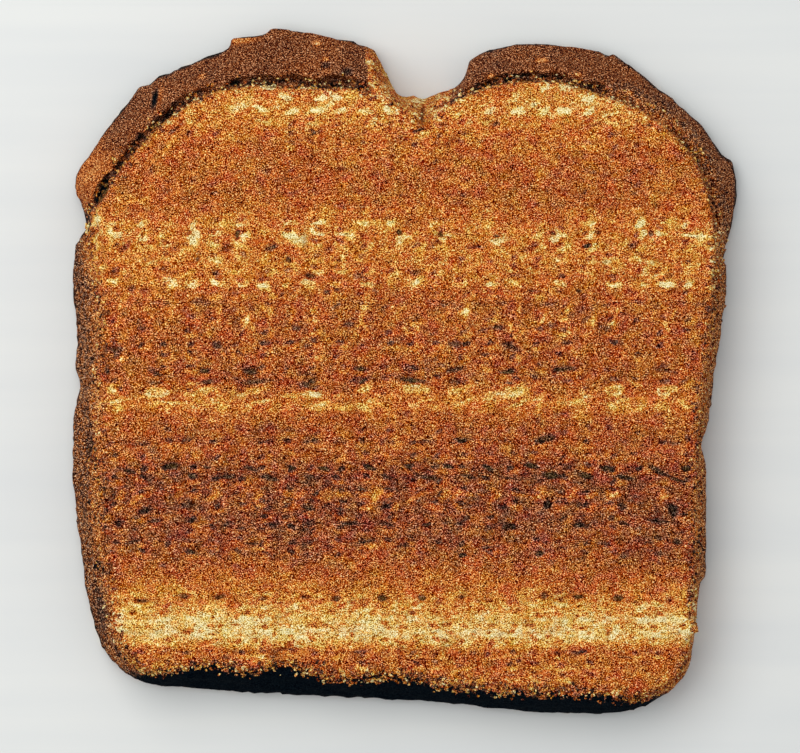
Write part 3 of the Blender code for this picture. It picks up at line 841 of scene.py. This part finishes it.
# %% The crust's material
def make_crust():
    """Oven-baked loaf crust: matt brown skin with a faint sheen, pores, pale flecks, and charred parts
    darkened with painted shade.
    """
    material, tree, shader, place = start_material("oven-baked crust")
    beyond_edge, light_crust, crumbly, tone, gap_shade, char_and_shade = (
        add_node(tree, "ShaderNodeAttribute", attribute_name=name).outputs["Fac"]
        for name in ("beyond", "light_crust", "crumbly", "tone", "gap_shade", "char_and_shade")
    )

    blotches = add_node(tree, "ShaderNodeTexNoise", {"Vector": place, "Scale": 1 / (9 * MM), "Detail": 3})
    pores = add_node(tree, "ShaderNodeTexNoise", {"Vector": place, "Scale": 1 / (1.4 * MM), "Detail": 3})
    # The tin's sides drew the finest grain out a little, so on the walls it runs down towards the foot.
    drawn = add_node(tree, "ShaderNodeMapping", {"Vector": place, "Scale": (1, 1, 0.5)})
    cells = add_node(tree, "ShaderNodeTexNoise", {"Vector": drawn, "Scale": 1 / (0.6 * MM), "Detail": 1})
    flakes = add_node(tree, "ShaderNodeTexNoise", {"Vector": drawn, "Scale": 1 / (0.18 * MM), "Detail": 0})
    baking = add_layers(tree, 0.445, {blotches: 0.24, pores: 0.09, cells: 0.06})

    # The gap under the lifted crust is darkened with painted shade, with brown shreds across it.
    shreds = add_node(tree, "ShaderNodeMapRange", {
        "Value": pores, "From Min": 0.40, "From Max": 0.58, "To Min": -0.32, "To Max": 0.0,
    })
    blotched = add_blotches(tree, beyond_edge, cells)
    shaded_foot = add_shaded_foot(tree, place, pores)
    foot_shade = add_node(tree, "ShaderNodeMapRange", {"Value": crumbly, "To Min": -0.9, "To Max": -0.3})
    # Painted shade darkens the foot, less on the crumbly walls, and the charred bottom wall.
    for share, change in (
        (light_crust, 0.20), (crumbly, blotched), (tone, 0.16), (gap_shade, shreds), (shaded_foot, foot_shade),
        (char_and_shade, -0.75),
    ):
        baking = add_node(tree, "ShaderNodeMath", {0: share, 1: change, 2: baking}, operation="MULTIPLY_ADD")

    colour = add_node(tree, "ShaderNodeValToRGB", {"Fac": baking}, stops=[
        (at, linear(shade)) for at, shade in CRUST_SCALE
    ])
    # Char, with its painted shade, is even black and has no sheen at all, so speckle and sheen fade out on
    # it.
    speckle = add_layers(tree, 0.0, {flakes: 1.85, cells: 0.06})
    rougher = add_node(tree, "ShaderNodeMath", {0: crumbly, 1: 0.3, 2: 1.0}, operation="MULTIPLY_ADD")
    unburnt_unshaded = add_node(tree, "ShaderNodeMapRange", {"Value": baking, "From Max": 0.35, "To Min": 0.12})
    for share in (rougher, unburnt_unshaded):
        speckle = add_node(tree, "ShaderNodeMath", {0: speckle, 1: share}, operation="MULTIPLY")
    base = add_speckle(tree, colour, speckle)
    tree.links.new(base.outputs[0], shader.inputs["Base Color"])
    sheen = add_node(tree, "ShaderNodeMapRange", {"Value": crumbly, "To Min": 0.04, "To Max": 0.005})
    sheen = add_node(tree, "ShaderNodeMath", {0: unburnt_unshaded, 1: sheen}, operation="MULTIPLY")
    tree.links.new(sheen.outputs[0], shader.inputs["Specular IOR Level"])

    relief = add_node(tree, "ShaderNodeMath", {0: cells, 1: 0.8, 2: pores}, operation="MULTIPLY_ADD")
    bump = add_node(tree, "ShaderNodeBump", {"Distance": 0.3 * MM, "Height": relief})
    tree.links.new(bump.outputs["Normal"], shader.inputs["Normal"])
    roughness = add_node(tree, "ShaderNodeMapRange", {"Value": baking, "To Min": 0.75, "To Max": 0.85})
    tree.links.new(roughness.outputs["Result"], shader.inputs["Roughness"])
    return material


crust_material = make_crust()
print("crust material has", len(crust_material.node_tree.nodes), "nodes")

# %% Give each face its material
TOP_RAGGEDNESS = 0.6 * MM
WALL_RAGGEDNESS = 2.3 * MM
RAG_SIZE = 1.3 * MM


def paint_faces(thing):
    """Crumb inside its ragged edge, in the notch and underneath, and crust elsewhere."""
    mesh = thing.data
    mesh.materials.append(crumb_material)
    mesh.materials.append(crust_material)
    centres = read_all(mesh.polygons, "center")
    turned_down = read_all(mesh.polygons, "normal")[:, 2] < -0.6
    around = np.degrees(angle_of(centres))
    in_notch = (around > NOTCH_ANGLES[0]) & (around < NOTCH_ANGLES[1])
    on_top_crust = (around > GAP_ANGLES[0]) & (around < GAP_ANGLES[1])
    raggedness = np.where(on_top_crust, TOP_RAGGEDNESS, WALL_RAGGEDNESS)
    past_edge = beyond_crumb(centres)
    near = np.nonzero(np.abs(past_edge) < 2 * WALL_RAGGEDNESS)[0]
    past_edge[near] += raggedness[near] * wander(centres[near], RAG_SIZE)
    crust = (past_edge > 0) & ~in_notch & ~turned_down
    mesh.polygons.foreach_set("material_index", crust.astype(np.int32))
    mesh.update()
    print(int(crust.sum()), "faces of crust and", int((~crust).sum()), "of crumb")


def hand_over(thing):
    """Smooth shading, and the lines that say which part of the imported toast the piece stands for."""
    select_only(thing)
    bpy.ops.object.shade_smooth()
    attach(thing, "root")
    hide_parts("toast")


paint_faces(toast)
hand_over(toast)

# %% [markdown]
# ## Grains at the torn edges
#
# Where the knife and the toaster tore the crumb, it breaks into loose grains that cling to the edge. There
# are more than two thousand, so Geometry Nodes scatters them: it draws points on the slice, densest where
# an attribute says that the bread is torn, and puts a turned and scaled copy of one grain at each.

# %% One grain
GRAIN_RADIUS = 0.5 * MM

bpy.ops.mesh.primitive_ico_sphere_add(subdivisions=1, radius=GRAIN_RADIUS, location=(0, 0, 0))
one_grain = bpy.context.object
one_grain.name = "one_grain"
bpy.ops.object.mode_set(mode="EDIT")
bpy.ops.mesh.select_all(action="SELECT")
bpy.ops.transform.vertex_random(offset=0.35 * GRAIN_RADIUS, uniform=1, normal=0, seed=SEED)
bpy.ops.object.mode_set(mode="OBJECT")
one_grain.scale = (1.3, 1.0, 0.8)
bpy.ops.object.transform_apply(location=False, rotation=False, scale=True)
print("one grain has", len(one_grain.data.polygons), "faces")

# %% Where the bread is torn
LOWEST_TORN = 7 * MM
LOWEST_ON_WALL = 9 * MM

torn_edge = np.exp(-((beyond - 0.1 * MM) / (0.9 * MM)) ** 2) * (height > LOWEST_TORN)
at_bottom = between_angles(degrees, *CHAR_AND_SHADE_ANGLES, 10)
ragged = torn_edge * np.clip(0.15 + at_bottom, 0, 1)
ragged += 0.13 * crumbly * (height > LOWEST_ON_WALL)
ragged += 0.15 * under_crust * np.exp(-((beyond - 1.2 * MM) / (0.8 * MM)) ** 2)
ragged = np.clip(ragged * (0.6 + 0.8 * (wander(places, 3 * MM) + 0.5)), 0, 1)
store(toast, "ragged", ragged)


# %% Scatter the grains
GRAIN_GAP = 0.26 * MM
MOST_GRAINS = 8 / MM ** 2
GRAIN_TONES = {2: -3.4, 3: 3.8}
GRAIN_SCALES = {2: 0.25, 3: 0.85}


def scatter_tree(grain):
    """Grains scattered over a mesh, as many as its ragged attribute asks for, as one real mesh."""
    tree = bpy.data.node_groups.new("scattered grains", "GeometryNodeTree")
    tree.interface.new_socket("Geometry", in_out="INPUT", socket_type="NodeSocketGeometry")
    tree.interface.new_socket("Geometry", in_out="OUTPUT", socket_type="NodeSocketGeometry")
    bread = add_node(tree, "NodeGroupInput")
    density = add_node(tree, "GeometryNodeInputNamedAttribute", {"Name": "ragged"}, data_type="FLOAT")
    spots = add_node(tree, "GeometryNodeDistributePointsOnFaces", {
        "Mesh": bread, "Distance Min": GRAIN_GAP, "Density Max": MOST_GRAINS, "Density Factor": density,
        "Seed": SEED,
    }, distribute_method="POISSON")
    # Some grains are bare pale crumb and some are scorched, so each gets a tone of its own.
    any_tone = add_node(tree, "FunctionNodeRandomValue", {**GRAIN_TONES, "Seed": 1}, data_type="FLOAT")
    toned = add_node(tree, "GeometryNodeStoreNamedAttribute", {
        "Geometry": spots, "Name": "tone", "Value": any_tone.outputs[1],
    }, data_type="FLOAT", domain="POINT")
    shape = add_node(tree, "GeometryNodeObjectInfo", {"Object": grain})
    size = add_node(tree, "FunctionNodeRandomValue", GRAIN_SCALES, data_type="FLOAT").outputs[1]
    turn = add_node(tree, "FunctionNodeRandomValue", {
        1: (math.pi, math.pi, math.pi),
    }, data_type="FLOAT_VECTOR")
    grains = add_node(tree, "GeometryNodeInstanceOnPoints", {
        "Points": toned, "Instance": shape.outputs["Geometry"], "Rotation": turn, "Scale": size,
    })
    real = add_node(tree, "GeometryNodeRealizeInstances", {0: grains})
    add_node(tree, "NodeGroupOutput", {0: real})
    return tree


def scatter_grains():
    grains = bpy.data.objects.new("edge_grains", toast.data.copy())
    bpy.context.scene.collection.objects.link(grains)
    scattering = grains.modifiers.new("scattered grains", "NODES")
    scattering.node_group = scatter_tree(one_grain)
    apply_all_modifiers(grains)
    grains.data.materials.clear()
    grains.data.materials.append(crumb_material)
    grains.data.polygons.foreach_set("material_index", np.zeros(len(grains.data.polygons), np.int32))
    keep_inside(grains, solid_box)
    hand_over(grains)
    bpy.data.objects.remove(one_grain)
    return grains


edge_grains = scatter_grains()
print("scattered about", len(edge_grains.data.polygons) // 20, "grains")

# %% [markdown]
# ## The table, the light and the camera
#
# The photo was lit from its upper left, as by a scanner's lamp: the ground is brighter there, and the bottom
# wall is lost in its own shade. One soft lamp beyond that corner gives both, and an even light from all
# sides fills the rest. The camera is far off with a long lens, so that the walls don't spread.

# %% The table
def make_laminate():
    """Pale laminate with faint streaks from side to side, left by wiping it."""
    material, tree, shader, place = start_material("pale laminate")
    wiped = add_node(tree, "ShaderNodeMapping", {"Vector": place, "Scale": (0.08, 1, 1)})
    streaks = add_node(tree, "ShaderNodeTexNoise", {"Vector": wiped, "Scale": 1 / (9 * MM), "Detail": 3})
    colour = add_node(tree, "ShaderNodeValToRGB", {"Fac": streaks}, stops=[
        (0.3, linear("#D5D7D5")), (0.7, linear("#DCDDD9")),
    ])
    tree.links.new(colour.outputs[0], shader.inputs["Base Color"])
    shader.inputs["Roughness"].default_value = 0.6
    return material


TABLE_SIZE = 3
bpy.ops.mesh.primitive_plane_add(size=TABLE_SIZE, location=(0, 0, 0))
table = bpy.context.object
table.name = "table"
table.data.materials.append(make_laminate())


# %% The lamp and the even light
def aim(thing, target):
    direction = Vector(target) - thing.location
    thing.rotation_euler = direction.to_track_quat("-Z", "Y").to_euler()


LAMP_PLACE = (-0.24, 0.19, 0.58)
LAMP_SIZE = (0.7, 0.5)
LAMP_POWER = 2.95
EVEN_LIGHT = 0.65

bpy.ops.object.light_add(type="AREA", location=LAMP_PLACE)
lamp = bpy.context.object
lamp.name = "lamp"
lamp.data.shape = "RECTANGLE"
lamp.data.size, lamp.data.size_y = LAMP_SIZE
lamp.data.energy = LAMP_POWER
aim(lamp, (0, 0, 0))

world = bpy.context.scene.world or bpy.data.worlds.new("even light")
bpy.context.scene.world = world
world.use_nodes = True
background = world.node_tree.nodes["Background"]
background.inputs["Color"].default_value = (0.95, 0.97, 1.0, 1)
background.inputs["Strength"].default_value = EVEN_LIGHT
bpy.context.scene.view_settings.view_transform = "Standard"

# %% The camera
PHOTO_WIDTH = 800
PHOTO_MIDDLE = (-4.5 * PIXEL, -5.5 * PIXEL)
CAMERA_HEIGHT = 3.0
WIDEST_HEIGHT = 0.003
SENSOR_WIDTH = 36

bpy.ops.object.camera_add(location=(*PHOTO_MIDDLE, CAMERA_HEIGHT), rotation=(0, 0, 0))
camera = bpy.context.object
camera.data.sensor_width = SENSOR_WIDTH
camera.data.lens = SENSOR_WIDTH * (CAMERA_HEIGHT - WIDEST_HEIGHT) / (PHOTO_WIDTH * PIXEL)
bpy.context.scene.camera = camera
print("lens", round(camera.data.lens), "mm")

# %% [markdown]
# The last cell brings the scene up to date.

# %% Finish
bpy.context.view_layer.update()
